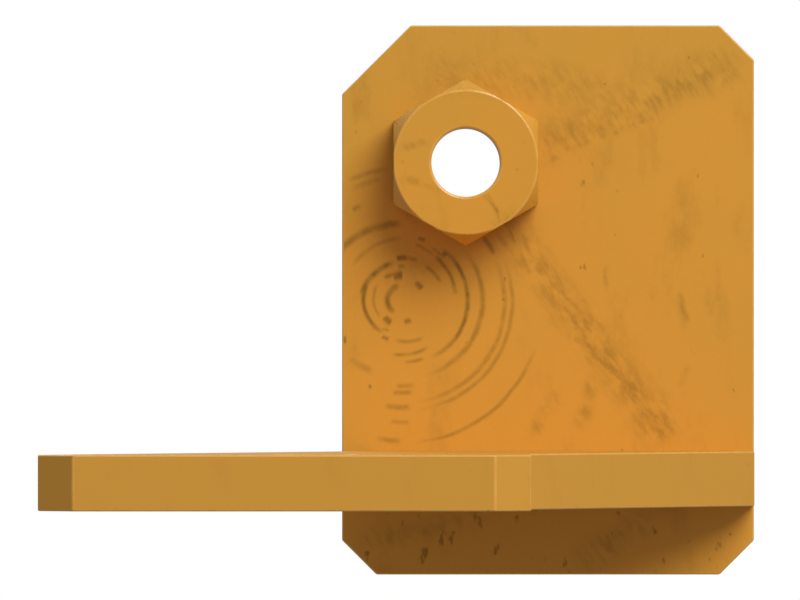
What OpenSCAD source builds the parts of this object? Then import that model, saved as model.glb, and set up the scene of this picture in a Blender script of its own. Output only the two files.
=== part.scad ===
// Bolt-on excavator bucket tooth: mounting plate, hexagonal nut with an open bore, flat blade with a
// replaceable point held by a quarter-turn lock pin. Millimetres, +Z up, the blade points to -Y.
// The origin is on the bore's axis, in the plane of the plate's back face.

/* [Mounting plate] */
// Width of the plate, left to right
plate_w = 120; // [110:1:200]
// Height of the plate
plate_h = 160; // [140:1:220]
// Thickness of the plate
plate_t = 16; // [14:0.5:30]
// Length cut off along each edge at three corners, at 45 degrees
small_corner = 10; // [4:0.5:18]
// Length cut off along each edge at the upper left corner, at 45 degrees
large_corner = 20; // [4:0.5:30]

/* [Bolt bore and nut] */
// Diameter of the bore that the mounting bolt goes through
bore_d = 20; // [12:0.1:26]
// Bore's axis, measured from the plate's left edge
bore_from_left = 36; // [30:0.5:60]
// Bore's axis, measured down from the plate's top edge
bore_from_top = 40; // [30:0.5:60]
// Nut's width across its flats
nut_af = 42; // [40:0.5:55]
// Nut's height in front of the plate
nut_h = 20; // [8:0.5:40]
// Angle between the nut's front chamfer and its axis
nut_chamfer_angle = 30; // [30:5:60]
// Outer diameter of the nut's pilot collar
pilot_d = 30; // [28:0.5:33]
// How deep the pilot collar sits in the plate
pilot_depth = 6; // [3:0.5:9]
// Diameter of the pins that stop the nut turning
anchor_d = 4; // [2:0.1:4.5]
// Length of those pins, half in the nut and half in the plate
anchor_len = 12; // [6:0.5:16]

/* [Shear bush] */
// Diameter of the bush's body in the plate
bush_d = 34; // [32:0.5:40]
// Diameter of the spigot behind the plate
spigot_d = 32; // [29:0.5:34]
// How far the spigot stands out of the plate's back face
spigot_len = 6; // [3:0.5:12]
// Chamfer on the spigot's end
spigot_chamfer = 0.8; // [0.2:0.1:1.5]

/* [Locating dowels] */
// Diameter of a dowel's body in the plate
dowel_body_d = 14; // [13:0.1:20]
// Depth of a dowel's body in the plate
dowel_body_len = 11; // [6:0.5:13]
// Diameter of a dowel's nose behind the plate
dowel_d = 12; // [6:0.1:13]
// How far the nose stands out of the back face
dowel_len = 8; // [4:0.5:14]
// Chamfer on the nose
dowel_chamfer = 1; // [0.2:0.1:2]
// Both dowels' distance from the plate's right edge
dowel_from_right = 24; // [12:0.5:40]
// Upper dowel's distance from the plate's top edge
upper_dowel_from_top = 24; // [14:0.5:40]
// Distance between the two dowels
dowel_pitch = 76; // [40:0.5:80]

/* [Blade] */
// Thickness of the blade
blade_t = 16; // [15:0.5:26]
// Blade's lower face, measured up from the plate's bottom edge
blade_from_bottom = 20; // [12:0.5:40]
// How far the blade reaches in front of the plate
reach = 160; // [130:1:260]
// How far the blade's tip stands out past the plate's left edge
tip_overhang = 86.25; // [70:0.25:130]
// Width of the blade's front, with its cut corners
front_w = 140.5; // [120:0.5:170]
// Length cut off along each edge at the two front corners
front_corner = 10.25; // [4:0.25:18]
// Length of the straight side behind the right front corner
front_side = 40; // [20:1:60]
// Gap between the plate's left edge and the blade's root
root_inset = 9; // [4:0.5:20]
// Straight part of the blade's right side, next to the plate
heel = 10; // [4:0.5:20]

/* [Shank and its screws] */
// Width of a tab that passes through the plate
tab_w = 26; // [12:0.5:28]
// Distance from an end of the root to its tab
tab_inset = 10; // [5:0.5:14]
// How far a tab ends short of the back face
tab_recess = 1; // [0.5:0.1:3]
// Step above and below a tab, which covers the gap round it
tab_shoulder = 1.5; // [1:0.1:3]
// Nominal diameter of the screws that hold the shank
screw_d = 8; // [5:0.5:8.5]
// Distance between the two screws
screw_pitch = 20; // [18:0.5:21]
// Length of a screw under its head
screw_len = 26; // [20:1:32]
// Diameter of a screw's head
screw_head_d = 13; // [12.5:0.5:14]
// Height of a screw's head
screw_head_h = 5; // [3:0.5:6]
// Outer diameter of a lock washer
washer_d = 13; // [12.5:0.5:14]
// Thickness of a lock washer
washer_t = 1.6; // [1:0.1:2.5]
// Diameter of a counterbore and of the plug in it
counterbore_d = 15; // [15:0.5:17]
// Thickness of a plug
plug_t = 2.4; // [1.5:0.1:3]
// How far a plug sits below the back face
plug_recess = 0.4; // [0.2:0.1:1]

/* [Point and tongue] */
// Length of the replaceable point
point_len = 40; // [36:1:50]
// Thickness of each cheek of the point's socket
cheek_t = 4.25; // [4:0.05:4.5]
// Tongue's width at its root
tongue_w = 84; // [60:1:90]
// Tongue's length
tongue_len = 28; // [26:0.5:30]
// How much each side of the tongue narrows over its length
tongue_taper = 3; // [0:0.5:6]
// Tongue's middle, measured from the plate's left edge to the left
tongue_offset = 8; // [0:0.5:12]

/* [Lock pin] */
// Diameter of the pin's shaft
pin_d = 14; // [12:0.1:15]
// Pin's axis, measured forward from the tongue's root
pin_from_root = 14; // [13:0.5:15]
// Diameter of the pin's head
pin_head_d = 24.4; // [24:0.1:26]
// Thickness of the pin's head
pin_head_t = 1.6; // [1.2:0.1:1.8]
// Depth of the head's recess in the upper cheek
head_recess = 2; // [2:0.1:2.2]
// Diameter over the two lugs
lug_d = 22; // [20:0.1:23]
// Thickness of the lugs
lug_t = 2.2; // [1.5:0.1:2.4]
// Across flats of the hex key socket
key_af = 10; // [6:0.5:10]
// Depth of the hex key socket
key_depth = 7; // [5:0.5:9]
// Thickness of the plug in the key socket
key_plug_t = 3; // [2:0.5:4]
// Angle that the pin turns through
turn_angle = 90; // [60:5:100]
// Diameter of the rotation stop pin
stop_d = 3.4; // [2.5:0.1:3.4]
// How deep the stop pin sits in the tongue, below the lug pocket
stop_depth = 3; // [2:0.5:4]
// Section of the seal ring
seal_t = 1.5; // [1:0.1:1.8]

/* [Friction shoe] */
// Width of the shoe and of its rubber
shoe_w = 8; // [5:0.5:9]
// Thickness of the shoe behind the pin
shoe_t = 3.5; // [2.5:0.1:4]
// Height of the shoe and of its rubber
shoe_h = 2.8; // [2:0.1:2.8]
// Length of the rubber block
rubber_len = 5; // [3:0.5:8]

/* [Clearances] */
// Running clearance on radius round the lock pin
run_gap = 0.05; // [0.02:0.01:0.1]
// Clearance on radius where a turning edge passes a wall
turn_gap = 0.4; // [0.3:0.05:0.6]
// Clearance above and below the tongue in its socket
socket_gap = 0.25; // [0.1:0.05:0.3]
// Clearance at the tongue's sides and end; the point itself seats on the shank's shoulders
tongue_gap = 0.4; // [0.2:0.05:0.8]
// Clearance round a tab in its slot
slot_gap = 0.2; // [0.1:0.05:0.5]
// Clearance between parts that don't turn and only drop into place
drop_gap = 0.1; // [0.05:0.05:0.3]
// Axial clearance under the lock pin's head and over its lugs
axial_gap = 0.1; // [0.05:0.01:0.2]

/* [Hidden] */
$fn = 96;
// Extra length of a cutting shape past the face that it opens
cut = 1;

paint = "orange";
bare_steel = "silver";
dark_steel = "dimgray";
rubber = "#222222";

plate_left = -bore_from_left;
plate_right = plate_left + plate_w;
plate_top = bore_from_top;
plate_bottom = plate_top - plate_h;
plate_front = -plate_t;

// Radius of a hexagon's corners from its width across flats
function corner_r(af) = af / 2 / cos(30);

blade_low = plate_bottom + blade_from_bottom;
blade_mid = blade_low + blade_t / 2;
front_left = plate_left - tip_overhang;
front_right = front_left + front_w;
front_y = plate_front - reach;
root_left = plate_left + root_inset;
root_right = plate_right;
root_mid = (root_left + root_right) / 2;
tab_len = plate_t - tab_recess;
tab_low = blade_low + tab_shoulder;
tab_t = blade_t - 2 * tab_shoulder;
tab_lefts = [root_left + tab_inset, root_right - tab_inset - tab_w];

screw_xs = [root_mid - screw_pitch / 2, root_mid + screw_pitch / 2];
// Each depth is measured forward from the plate's back face
head_top_depth = plug_recess + plug_t + drop_gap;
washer_depth = head_top_depth + screw_head_h;
seat_depth = washer_depth + washer_t;
screw_end_depth = washer_depth + screw_len;

anchor_ring_r = (pilot_d / 2 + corner_r(nut_af)) / 2 - 0.5;
bush_len = plate_t - pilot_depth;
dowel_x = plate_right - dowel_from_right;
dowel_zs = [plate_top - upper_dowel_from_top, plate_top - upper_dowel_from_top - dowel_pitch];

split_y = front_y + point_len;
tongue_t = blade_t - 2 * (cheek_t + socket_gap);
tongue_low = blade_low + cheek_t + socket_gap;
tongue_high = tongue_low + tongue_t;
tongue_x = plate_left - tongue_offset;

pin_x = tongue_x;
pin_y = split_y - pin_from_root;
pin_foot = blade_low + 0.3;
blade_high = blade_low + blade_t;
head_low = blade_high - head_recess + axial_gap;
head_high = head_low + pin_head_t;
lug_high = blade_high - cheek_t - axial_gap;
lug_low = lug_high - lug_t;
lug_floor = lug_low - 2 * axial_gap;
stop_r = (pin_d + lug_d) / 4;
stop_half_angle = asin((stop_d / 2 + axial_gap) / stop_r);
lug_angle = 180 - turn_angle - 2 * stop_half_angle;
// Middle of the free arc between the lugs' sweeps
stop_angle = -(lug_angle / 2 + stop_half_angle);
seal_groove_h = seal_t + 0.3;
seal_groove_low = blade_low + 1.2;
seal_groove_r = pin_d / 2 - seal_t;
shoe_back = pin_d / 2 + shoe_t;
rubber_back = shoe_back + rubber_len;
shoe_pocket_h = shoe_h + 2 * drop_gap;

// A child that points along +Z, turned to point to the back (+Y)
module to_back() rotate([-90, 0, 0]) children();

// A cylinder along Y from one y to a larger one, centred on x and z
module rod_y(x, z, y_from, y_to, d)
    translate([x, y_from, z]) to_back() cylinder(h = y_to - y_from, d = d);

// A cylinder along the lock pin's axis from one z to a higher one
module rod_at_pin(z_from, z_to, d)
    translate([pin_x, pin_y, z_from]) cylinder(h = z_to - z_from, d = d);

// The blade's outline in plan
module blade_outline()
    polygon([
        [root_left, plate_front],
        [front_left, front_y + front_corner],
        [front_left + front_corner, front_y],
        [front_right - front_corner, front_y],
        [front_right, front_y + front_corner],
        [front_right, front_y + front_corner + front_side],
        [root_right, plate_front - heel],
        [root_right, plate_front]
    ]);

// The part of the blade's outline between two values of y
module blade_slice(y_from, y_to)
    intersection() {
        blade_outline();
        translate([front_left - cut, y_from]) square([front_w + plate_w + tip_overhang, y_to - y_from]);
    }

// The tongue's outline in plan, grown by a gap at its sides and end
module tongue_outline(gap, root_extra)
    polygon([
        [tongue_x - tongue_w / 2 - gap, split_y + root_extra],
        [tongue_x + tongue_w / 2 + gap, split_y + root_extra],
        [tongue_x + tongue_w / 2 - tongue_taper + gap, split_y - tongue_len - gap],
        [tongue_x - tongue_w / 2 + tongue_taper - gap, split_y - tongue_len - gap]
    ]);

// Two opposite sectors about the lock pin's axis, from one z to a higher one, at an angle
module lug_pair(z_from, z_to, d, spread, at)
    intersection() {
        rod_at_pin(z_from, z_to, d);
        translate([pin_x, pin_y, z_from])
            for (side = [0, 180])
                rotate([0, 0, at + side])
                    linear_extrude(z_to - z_from)
                        polygon([
                            [0, 0],
                            [d, -d * tan(spread / 2)],
                            [d, d * tan(spread / 2)]
                        ]);
    }

// Pins between nut and plate: the same shape makes the pins and cuts their holes
module anchor_shapes()
    for (side = [-1, 1])
        rod_y(0, side * anchor_ring_r, plate_front - anchor_len / 2, plate_front + anchor_len / 2, anchor_d);

// The friction shoe's pocket or block beside the pin, between two distances from the pin's axis
module beside_pin(near, far, width, z_from, height)
    translate([pin_x - far, pin_y - width / 2, z_from]) cube([far - near, width, height]);

module mounting_plate() {
    color(paint)
    difference() {
        translate([0, plate_front, 0])
            to_back()
                mirror([0, 1, 0])
                    linear_extrude(plate_t)
                        polygon([
                            [plate_left, plate_bottom + small_corner],
                            [plate_left + small_corner, plate_bottom],
                            [plate_right - small_corner, plate_bottom],
                            [plate_right, plate_bottom + small_corner],
                            [plate_right, plate_top - small_corner],
                            [plate_right - small_corner, plate_top],
                            [plate_left + large_corner, plate_top],
                            [plate_left, plate_top - large_corner]
                        ]);
        rod_y(0, 0, plate_front - cut, plate_front + pilot_depth + cut, pilot_d);
        rod_y(0, 0, plate_front + pilot_depth, cut, bush_d);
        anchor_shapes();
        for (z = dowel_zs)
            rod_y(dowel_x, z, -dowel_body_len, cut, dowel_body_d);
        for (x = tab_lefts)
            translate([x - slot_gap, plate_front - cut, tab_low - slot_gap])
                cube([tab_w + 2 * slot_gap, plate_t + 2 * cut, tab_t + 2 * slot_gap]);
        for (x = screw_xs) {
            rod_y(x, blade_mid, -seat_depth, cut, counterbore_d);
            rod_y(x, blade_mid, plate_front - cut, cut, screw_d + 2 * turn_gap);
        }
    }
}

module hex_nut() {
    color(paint)
    difference() {
        union() {
            intersection() {
                translate([0, plate_front - nut_h, 0])
                    to_back()
                        rotate([0, 0, 30])
                            linear_extrude(nut_h)
                                circle(r = corner_r(nut_af), $fn = 6);
                translate([0, plate_front - nut_h, 0])
                    to_back()
                        cylinder(h = nut_h, r1 = nut_af / 2, r2 = nut_af / 2 + nut_h * tan(nut_chamfer_angle));
            }
            rod_y(0, 0, plate_front - cut, plate_front + pilot_depth, pilot_d);
        }
        rod_y(0, 0, plate_front - nut_h - cut, plate_front + pilot_depth + cut, bore_d);
        anchor_shapes();
    }
}

module nut_anchor_pins() {
    color(bare_steel)
    anchor_shapes();
}

module shear_bush() {
    color(bare_steel)
    difference() {
        union() {
            rod_y(0, 0, -bush_len, 0, bush_d);
            rod_y(0, 0, -cut, spigot_len - spigot_chamfer, spigot_d);
            translate([0, spigot_len - spigot_chamfer, 0])
                to_back()
                    cylinder(h = spigot_chamfer, d1 = spigot_d, d2 = spigot_d - 2 * spigot_chamfer);
        }
        rod_y(0, 0, -bush_len - cut, spigot_len + cut, bore_d);
    }
}

module locating_dowels() {
    color(bare_steel)
    for (z = dowel_zs) {
        rod_y(dowel_x, z, -dowel_body_len, 0, dowel_body_d);
        rod_y(dowel_x, z, -cut, dowel_len - dowel_chamfer, dowel_d);
        translate([dowel_x, dowel_len - dowel_chamfer, z])
            to_back()
                cylinder(h = dowel_chamfer, d1 = dowel_d, d2 = dowel_d - 2 * dowel_chamfer);
    }
}

module tooth_shank() {
    color(paint)
    difference() {
        union() {
            translate([0, 0, blade_low]) linear_extrude(blade_t) blade_slice(split_y, plate_front);
            for (x = tab_lefts)
                translate([x, plate_front - cut, tab_low]) cube([tab_w, tab_len + cut, tab_t]);
            translate([0, 0, tongue_low]) linear_extrude(tongue_t) tongue_outline(0, cut);
        }
        for (x = screw_xs)
            rod_y(x, blade_mid, -screw_end_depth - cut, plate_front + cut, screw_d + 2 * run_gap);
        rod_at_pin(tongue_low - cut, tongue_high + cut, pin_d + 2 * run_gap);
        rod_at_pin(lug_floor, tongue_high + cut, lug_d + 2 * turn_gap);
        stop_shape(stop_d);
        beside_pin(0, rubber_back + drop_gap, shoe_w + 2 * drop_gap, tongue_low - cut, shoe_pocket_h + cut);
    }
}

module shank_screws() {
    color(dark_steel)
    for (x = screw_xs)
        difference() {
            union() {
                rod_y(x, blade_mid, -washer_depth, -head_top_depth, screw_head_d);
                rod_y(x, blade_mid, -screw_end_depth, -washer_depth + cut, screw_d);
            }
            translate([x, -head_top_depth - screw_head_h * 0.6, blade_mid])
                to_back()
                    linear_extrude(screw_head_h)
                        circle(r = corner_r(screw_d * 0.75), $fn = 6);
        }
}

module shank_lock_washers() {
    color(bare_steel)
    for (x = screw_xs)
        difference() {
            rod_y(x, blade_mid, -seat_depth, -washer_depth, washer_d);
            rod_y(x, blade_mid, -seat_depth - cut, -washer_depth + cut, screw_d + 2 * drop_gap);
        }
}

module screw_hole_plugs() {
    color(dark_steel)
    for (x = screw_xs)
        rod_y(x, blade_mid, -plug_recess - plug_t, -plug_recess, counterbore_d);
}

module tooth_point() {
    color(paint)
    difference() {
        translate([0, 0, blade_low]) linear_extrude(blade_t) blade_slice(front_y, split_y);
        translate([0, 0, tongue_low - socket_gap])
            linear_extrude(tongue_t + 2 * socket_gap)
                tongue_outline(tongue_gap, cut);
        rod_at_pin(blade_low - cut, blade_high + cut, pin_d + 2 * run_gap);
        rod_at_pin(blade_high - head_recess, blade_high + cut, pin_head_d + 2 * turn_gap);
        lug_pair(tongue_high, blade_high, lug_d + 2 * turn_gap, lug_angle + 4, turn_angle);
    }
}

module lock_pin() {
    color(bare_steel)
    difference() {
        union() {
            rod_at_pin(pin_foot, head_high, pin_d);
            rod_at_pin(head_low, head_high, pin_head_d);
            lug_pair(lug_low, lug_high, lug_d, lug_angle, 0);
        }
        translate([pin_x, pin_y, head_high - key_depth])
            linear_extrude(key_depth + cut)
                circle(r = corner_r(key_af), $fn = 6);
        difference() {
            rod_at_pin(seal_groove_low, seal_groove_low + seal_groove_h, pin_d + cut);
            rod_at_pin(seal_groove_low - cut, seal_groove_low + seal_groove_h + cut, 2 * seal_groove_r);
        }
    }
}

module pin_seal_ring() {
    color(rubber)
    translate([pin_x, pin_y, seal_groove_low + seal_groove_h / 2])
        rotate_extrude()
            translate([seal_groove_r + seal_t / 2, 0])
                circle(d = seal_t, $fn = 32);
}

module key_socket_plug() {
    color(rubber)
    translate([pin_x, pin_y, head_high - key_plug_t])
        linear_extrude(key_plug_t - drop_gap)
            circle(r = corner_r(key_af - 2 * drop_gap), $fn = 6);
}

// The stop pin's shape: it stands in the lug pocket and sits in the tongue
module stop_shape(d)
    translate([pin_x, pin_y, 0])
        rotate([0, 0, stop_angle])
            translate([stop_r, 0, lug_floor - stop_depth])
                cylinder(h = stop_depth + lug_high - lug_floor, d = d);

module rotation_stop_pin() {
    color(bare_steel)
    stop_shape(stop_d);
}

module friction_shoe() {
    color(bare_steel)
    difference() {
        beside_pin(pin_d / 2 * 0.8, shoe_back, shoe_w, tongue_low + drop_gap, shoe_h);
        rod_at_pin(tongue_low, tongue_high, pin_d + 2 * run_gap);
    }
}

module shoe_rubber() {
    color(rubber)
    beside_pin(shoe_back, rubber_back, shoe_w, tongue_low + drop_gap, shoe_h);
}

mounting_plate();
hex_nut();
nut_anchor_pins();
shear_bush();
locating_dowels();
tooth_shank();
shank_screws();
shank_lock_washers();
screw_hole_plugs();
tooth_point();
lock_pin();
pin_seal_ring();
key_socket_plug();
rotation_stop_pin();
friction_shoe();
shoe_rubber();
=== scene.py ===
import sys
import logging
import math
from dataclasses import dataclass, field
from enum import Enum
from typing import Callable, Optional, Sequence, Union

import bpy
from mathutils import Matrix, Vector


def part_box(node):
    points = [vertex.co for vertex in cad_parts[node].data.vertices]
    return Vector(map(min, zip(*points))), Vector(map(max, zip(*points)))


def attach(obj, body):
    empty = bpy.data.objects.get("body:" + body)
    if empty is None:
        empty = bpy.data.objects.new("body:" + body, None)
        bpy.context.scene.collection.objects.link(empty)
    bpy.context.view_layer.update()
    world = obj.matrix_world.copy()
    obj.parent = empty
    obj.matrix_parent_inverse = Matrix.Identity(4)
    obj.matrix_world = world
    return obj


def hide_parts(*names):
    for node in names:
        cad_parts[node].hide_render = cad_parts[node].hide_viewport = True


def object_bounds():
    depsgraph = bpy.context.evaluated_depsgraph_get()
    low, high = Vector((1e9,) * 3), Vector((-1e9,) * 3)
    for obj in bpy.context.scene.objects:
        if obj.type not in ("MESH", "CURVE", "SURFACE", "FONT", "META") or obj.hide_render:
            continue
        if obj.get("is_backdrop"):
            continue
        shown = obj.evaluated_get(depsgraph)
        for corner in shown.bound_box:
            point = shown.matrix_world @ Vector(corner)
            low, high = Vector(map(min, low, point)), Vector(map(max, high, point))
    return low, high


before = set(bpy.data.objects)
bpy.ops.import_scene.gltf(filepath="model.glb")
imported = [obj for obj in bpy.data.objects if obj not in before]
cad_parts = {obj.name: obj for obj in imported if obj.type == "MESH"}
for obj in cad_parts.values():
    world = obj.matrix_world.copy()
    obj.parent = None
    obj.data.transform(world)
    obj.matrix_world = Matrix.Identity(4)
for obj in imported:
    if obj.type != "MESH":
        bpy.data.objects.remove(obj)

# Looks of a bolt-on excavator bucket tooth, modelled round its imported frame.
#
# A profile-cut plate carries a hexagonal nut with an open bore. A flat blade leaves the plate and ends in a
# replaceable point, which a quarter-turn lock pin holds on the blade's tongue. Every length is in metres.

LOG = logging.getLogger("tooth")
MM = 0.001
SMOOTH_ANGLE = math.radians(32)
ROUND_ANGLE = math.radians(28)
MOUTH_ANGLE = math.radians(20)
HEX_ANGLE = math.radians(30)
OVERCUT = 1 * MM
OVERLAP = 2 * MM
WAIST = 0.05 * MM

Number = Union[int, float]
Piece = bpy.types.Object
Colour = tuple[float, float, float, float]


# ---------------------------------------------------------------------------------------------------------
# Modelling bench: the operators that every piece is made with
# ---------------------------------------------------------------------------------------------------------


class Merge(Enum):
    """What a tool shape does to a piece."""

    ADD = "UNION"
    CUT = "DIFFERENCE"
    TRIM = "INTERSECT"


@dataclass(frozen=True)
class Span:
    """A box in space, from its lowest corner to its highest."""

    low: Vector
    high: Vector

    @staticmethod
    def of_node(node: str) -> "Span":
        """Gives the box of a frame node."""
        low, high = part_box(node)
        return Span(Vector(low), Vector(high))

    @property
    def centre(self) -> Vector:
        """The box's middle."""
        return (self.low + self.high) / 2

    @property
    def size(self) -> Vector:
        """The box's three side lengths."""
        return self.high - self.low


@dataclass(frozen=True)
class Station:
    """One cross-section of a lofted block: where it stands along Y and how far it spans along X."""

    y: float
    left: float
    right: float

    def centre(self, height: float) -> Vector:
        """The section's middle, at a height."""
        return Vector(((self.left + self.right) / 2, self.y, height))

    @property
    def width(self) -> float:
        """The section's width."""
        return self.right - self.left


class Bench:
    """Blender operators, each with its selection made beforehand."""

    @staticmethod
    def clear() -> None:
        """Leaves edit mode and deselects everything, so that a new primitive is alone."""
        if bpy.context.object and bpy.context.object.mode != "OBJECT":
            bpy.ops.object.mode_set(mode="OBJECT")
        bpy.ops.object.select_all(action="DESELECT")

    @classmethod
    def only(cls, piece: Piece) -> None:
        """Selects one object and nothing else.

        Args:
            piece: the object to select and make active.
        """
        cls.clear()
        piece.select_set(True)
        bpy.context.view_layer.objects.active = piece

    @classmethod
    def edit(cls, piece: Piece, kind: str) -> None:
        """Opens a piece in edit mode, all of it selected.

        Args:
            piece: the object.
            kind: VERT, EDGE or FACE, as what is selected.
        """
        cls.only(piece)
        bpy.ops.object.mode_set(mode="EDIT")
        bpy.ops.mesh.select_mode(type=kind)
        bpy.ops.mesh.select_all(action="SELECT")

    @staticmethod
    def close_up() -> None:
        """Turns every face of the open piece outwards and leaves edit mode."""
        bpy.ops.mesh.select_all(action="SELECT")
        bpy.ops.mesh.normals_make_consistent(inside=False)
        bpy.ops.object.mode_set(mode="OBJECT")

    @classmethod
    def settle(cls) -> Piece:
        """Moves the newest object's place into its mesh.

        Returns:
            The object, at the origin.
        """
        piece = bpy.context.object
        cls.only(piece)
        bpy.ops.object.transform_apply(location=True, rotation=True, scale=True)
        return piece

    @classmethod
    def join(cls, pieces: Sequence[Piece]) -> Piece:
        """Joins separate solids into one object.

        Args:
            pieces: the objects.

        Returns:
            The joined object.
        """
        cls.clear()
        for piece in pieces:
            piece.select_set(True)
        bpy.context.view_layer.objects.active = pieces[0]
        bpy.ops.object.join()
        return cls.settle()

    @classmethod
    def block(cls, low: Vector, high: Vector) -> Piece:
        """Adds a cube stretched to a box.

        Args:
            low: the box's lowest corner.
            high: its highest corner.

        Returns:
            The new object.
        """
        cls.clear()
        bpy.ops.mesh.primitive_cube_add(size=1, location=(low + high) / 2, scale=high - low)
        return cls.settle()

    @classmethod
    def loft(cls, low: float, high: float, *stations: Station) -> Piece:
        """Draws a flat block forward from station to station.

        Args:
            low: the block's lower face.
            high: the block's upper face.
            stations: cross-sections, each in front of the one before.

        Returns:
            The new closed object.
        """
        first = stations[0]
        height = (low + high) / 2
        cls.clear()
        bpy.ops.mesh.primitive_plane_add(
            size=1, location=first.centre(height), rotation=(math.radians(90), 0, 0)
        )
        bpy.context.object.scale = (first.width, high - low, 1)
        piece = cls.settle()
        cls.edit(piece, "FACE")
        for last, now in zip(stations, stations[1:]):
            shift = now.centre(height) - last.centre(height)
            bpy.ops.mesh.extrude_region_move(TRANSFORM_OT_translate={"value": shift})
            bpy.ops.transform.resize(
                value=(now.width / last.width, 1, 1), center_override=now.centre(height)
            )
        cls.close_up()
        return piece

    @classmethod
    def chamfer_edges(cls, piece: Piece, wanted: Callable[[Vector], bool], cut: float) -> None:
        """Bevels the edges whose two ends pass a test.

        Args:
            piece: the object.
            wanted: the test on a point.
            cut: the length taken off each side of the edge.
        """
        cls.edit(piece, "EDGE")
        bpy.ops.mesh.select_all(action="DESELECT")
        bpy.ops.object.mode_set(mode="OBJECT")
        picked = [wanted(vertex.co) for vertex in piece.data.vertices]
        for edge in piece.data.edges:
            edge.select = all(picked[end] for end in edge.vertices)
        bpy.ops.object.mode_set(mode="EDIT")
        bpy.ops.mesh.bevel(offset=cut, offset_type="OFFSET", segments=1, affect="EDGES")
        bpy.ops.object.mode_set(mode="OBJECT")

    @classmethod
    def modify(cls, piece: Piece, kind: str, **settings: object) -> None:
        """Puts a modifier on a piece and applies it.

        Args:
            piece: the object.
            kind: the modifier's type.
            settings: the modifier's properties.
        """
        cls.only(piece)
        step = piece.modifiers.new("step", kind)
        for key, setting in settings.items():
            setattr(step, key, setting)
        bpy.ops.object.modifier_apply(modifier=step.name)

    @classmethod
    def combine(cls, piece: Piece, how: Merge, *tools: Piece) -> None:
        """Adds, cuts or trims a piece with tool shapes, and removes them.

        Args:
            piece: the object that is kept.
            how: what the tools do.
            tools: the objects that are used up, in order.
        """
        for tool in tools:
            cls.modify(piece, "BOOLEAN", operation=how.value, solver="EXACT", object=tool)
            bpy.data.objects.remove(tool, do_unlink=True)

    @staticmethod
    def make_slots(piece: Piece) -> None:
        """Makes room on a piece for its main finish and its edge finish."""
        while len(piece.data.materials) < 2:
            piece.data.materials.append(None)

    @classmethod
    def soften(cls, piece: Piece, width: float) -> None:
        """Rounds a piece's sharp edges, and gives the rounds the edge finish.

        Args:
            piece: the object.
            width: the width of the rounds.
        """
        cls.make_slots(piece)
        cls.modify(
            piece, "BEVEL", material=1, width=width, segments=3, limit_method="ANGLE", angle_limit=ROUND_ANGLE
        )

    @classmethod
    def finish_surface(cls, piece: Piece) -> None:
        """Merges loose points, smooths round faces and keeps flat faces flat.

        Args:
            piece: the object.
        """
        cls.edit(piece, "VERT")
        bpy.ops.mesh.remove_doubles(threshold=0.002 * MM)
        bpy.ops.object.mode_set(mode="OBJECT")
        bpy.ops.object.shade_smooth_by_angle(angle=SMOOTH_ANGLE)
        cls.modify(piece, "WEIGHTED_NORMAL", keep_sharp=True, weight=100)


@dataclass(frozen=True)
class Ring:
    """One ring of a turned shape, and whether the run that ends at it takes the edge finish."""

    along: float
    radius: float
    edge: bool = False


class Axis(Enum):
    """Direction of a spindle, as the turn that takes +Z to it."""

    Y = (math.radians(-90), 0.0, 0.0)
    Z = (0.0, 0.0, 0.0)

    @property
    def ahead(self) -> Vector:
        """The direction as a unit vector."""
        return Vector((0, 1, 0)) if self is Axis.Y else Vector((0, 0, 1))

    def at(self, x: float, y: float, z: float) -> "Spindle":
        """A spindle in this direction from a point."""
        return Spindle(Vector((x, y, z)), self)


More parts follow.
